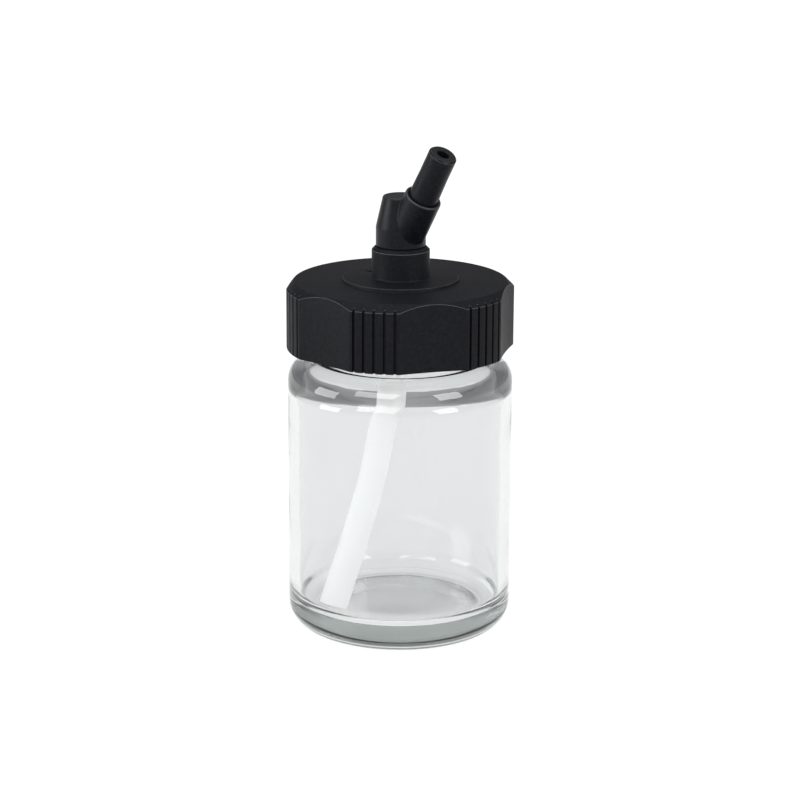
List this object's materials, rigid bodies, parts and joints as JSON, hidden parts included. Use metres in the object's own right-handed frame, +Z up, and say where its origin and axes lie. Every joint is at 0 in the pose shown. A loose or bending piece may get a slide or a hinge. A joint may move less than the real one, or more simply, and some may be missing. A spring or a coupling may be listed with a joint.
{
  "type": "airbrush siphon feed jar",
  "caption": "Clear glass paint jar with a ribbed black screw cap, a swivelling angled feed stem with a tapered tip, and a dip tube that reaches the floor of the jar.",
  "frame": {"origin": "centre of the jar's underside, on the surface it stands on", "axes": "+Z up along the jar's axis; the feed tip leans towards +X and -Y"},
  "size_m": [0.034, 0.0342, 0.0746],
  "materials": {
    "clear_glass": "clear moulded glass with a faint green tint in the thick base and shoulder",
    "liner_foam": "soft white foamed liner",
    "cap_plastic": "satin black moulded plastic with a fine grain",
    "stem_plastic": "satin black moulded plastic, slightly smoother than the cap",
    "ring_steel": "plain stamped stainless steel",
    "milky_tube": "translucent milky polyethylene tube"
  },
  "bodies": {
    "jar": {"glass_jar": "clear_glass"},
    "liner": {"lid_liner": "liner_foam"},
    "cap": {"screw_cap": "cap_plastic"},
    "stem": {"feed_elbow": "stem_plastic", "retaining_ring": "ring_steel", "feed_tip": "stem_plastic", "dip_tube": "milky_tube"}
  },
  "joints": [
    {"name": "lid_lift", "type": "slide", "parent": "jar", "child": "liner", "axis": [0, 0, 1], "range_m": [0, 0.00848]},
    {"name": "cap_turn", "type": "hinge", "parent": "liner", "child": "cap", "pos_m": [0, 0, 0.048], "axis": [0, 0, 1], "range_deg": [0, 720]},
    {"name": "stem_swivel", "type": "hinge", "parent": "cap", "child": "stem", "pos_m": [0, 0, 0.0587], "axis": [0, 0, 1], "continuous": true}
  ],
  "couplings": [
    {"joint": "lid_lift", "follows": "cap_turn", "m_per_rad": 0.0006737}
  ]
}
